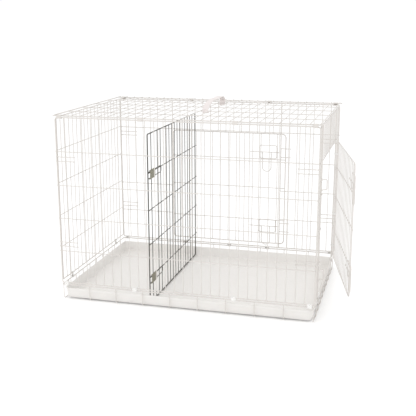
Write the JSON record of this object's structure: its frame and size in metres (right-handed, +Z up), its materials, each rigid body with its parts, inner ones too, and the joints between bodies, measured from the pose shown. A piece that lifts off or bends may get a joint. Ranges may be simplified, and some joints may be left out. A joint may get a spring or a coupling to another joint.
{
  "type": "wire dog crate",
  "caption": "Folding wire dog crate with a floor pan, an end door, a rear door, slide-bolt latches and a removable divider panel.",
  "frame": {"origin": "middle of the crate's footprint, on the floor that it stands on", "axes": "+X along the crate towards the end with the door, +Y from the front to the back, +Z up"},
  "size_m": [1.2224, 0.7709, 0.8327],
  "materials": {
    "coated_wire": "satin off-white coating",
    "graphite_wire": "satin dark graphite coating",
    "zinc_plate": "zinc plated sheet, slightly yellow",
    "clip_sheet": "bright sheet steel",
    "pan_plastic": "moulded, slightly glossy",
    "handle_plastic": "moulded, matte"
  },
  "bodies": {
    "root": {"base_grid": "coated_wire", "pan": "pan_plastic", "front_panel": "coated_wire", "back_panel": "coated_wire", "top_panel": "coated_wire", "divider_panel": "graphite_wire", "divider_upper_bracket": "zinc_plate", "divider_lower_bracket": "zinc_plate", "back_door_upper_keeper": "coated_wire", "back_door_lower_keeper": "coated_wire", "back_door_hinge_ring_1": "clip_sheet", "back_door_hinge_ring_2": "clip_sheet", "back_door_hinge_ring_3": "clip_sheet", "front_foot_clip_1": "clip_sheet", "front_foot_clip_2": "clip_sheet", "front_foot_clip_3": "clip_sheet", "front_foot_clip_4": "clip_sheet", "back_foot_clip_1": "clip_sheet", "back_foot_clip_2": "clip_sheet", "back_foot_clip_3": "clip_sheet", "back_foot_clip_4": "clip_sheet", "back_foot_clip_5": "clip_sheet", "front_top_clip_1": "clip_sheet", "front_top_clip_2": "clip_sheet", "front_top_clip_3": "clip_sheet", "front_top_clip_4": "clip_sheet", "back_top_clip_1": "clip_sheet", "back_top_clip_2": "clip_sheet", "back_top_clip_3": "clip_sheet", "back_top_clip_4": "clip_sheet", "left_end_clip_1": "clip_sheet", "left_end_clip_2": "clip_sheet", "right_end_clip_1": "clip_sheet", "right_end_clip_2": "clip_sheet", "carry_handle": "handle_plastic"},
    "left_end": {"left_end_panel": "coated_wire"},
    "right_end": {"right_end_panel": "coated_wire", "right_door_upper_keeper": "coated_wire", "right_door_lower_keeper": "coated_wire", "right_door_hinge_ring_1": "clip_sheet", "right_door_hinge_ring_2": "clip_sheet", "right_door_hinge_ring_3": "clip_sheet"},
    "right_door": {"right_door": "coated_wire", "right_door_upper_guide": "coated_wire", "right_door_lower_guide": "coated_wire"},
    "right_upper_bolt": {"right_door_upper_bolt": "coated_wire"},
    "right_lower_bolt": {"right_door_lower_bolt": "coated_wire"},
    "back_door": {"back_door": "coated_wire", "back_door_upper_guide": "coated_wire", "back_door_lower_guide": "coated_wire"},
    "back_upper_bolt": {"back_door_upper_bolt": "coated_wire"},
    "back_lower_bolt": {"back_door_lower_bolt": "coated_wire"},
    "divider_upper_bolt": {"divider_upper_bolt": "graphite_wire"},
    "divider_lower_bolt": {"divider_lower_bolt": "graphite_wire"}
  },
  "joints": [
    {"name": "left_end_fold", "type": "hinge", "parent": "root", "child": "left_end", "pos_m": [-0.5395, 0, 0.0885], "axis": [0, 1, 0], "range_deg": [0, 30]},
    {"name": "right_end_fold", "type": "hinge", "parent": "root", "child": "right_end", "pos_m": [0.5395, 0, 0.0885], "axis": [0, 1, 0], "range_deg": [-74, 0]},
    {"name": "right_door_swing", "type": "hinge", "parent": "right_end", "child": "right_door", "pos_m": [0.5491, 0.23867, 0.3665], "axis": [0, 0, 1], "range_deg": [-12.5, 118]},
    {"name": "right_upper_bolt_slide", "type": "slide", "parent": "right_door", "child": "right_upper_bolt", "axis": [0.2164, -0.9763, 0], "range_m": [-0.009, 0.022]},
    {"name": "right_lower_bolt_slide", "type": "slide", "parent": "right_door", "child": "right_lower_bolt", "axis": [0.2164, -0.9763, 0], "range_m": [-0.009, 0.022]},
    {"name": "back_door_swing", "type": "hinge", "parent": "root", "child": "back_door", "pos_m": [-0.26975, 0.3756, 0.3665], "axis": [0, 0, 1], "range_deg": [0, 165]},
    {"name": "back_upper_bolt_slide", "type": "slide", "parent": "back_door", "child": "back_upper_bolt", "axis": [1, 0, 0], "range_m": [-0.009, 0.022]},
    {"name": "back_lower_bolt_slide", "type": "slide", "parent": "back_door", "child": "back_lower_bolt", "axis": [1, 0, 0], "range_m": [-0.009, 0.022]},
    {"name": "divider_upper_bolt_slide", "type": "slide", "parent": "root", "child": "divider_upper_bolt", "axis": [0, 1, 0], "range_m": [0, 0.025]},
    {"name": "divider_lower_bolt_slide", "type": "slide", "parent": "root", "child": "divider_lower_bolt", "axis": [0, 1, 0], "range_m": [0, 0.025]}
  ]
}
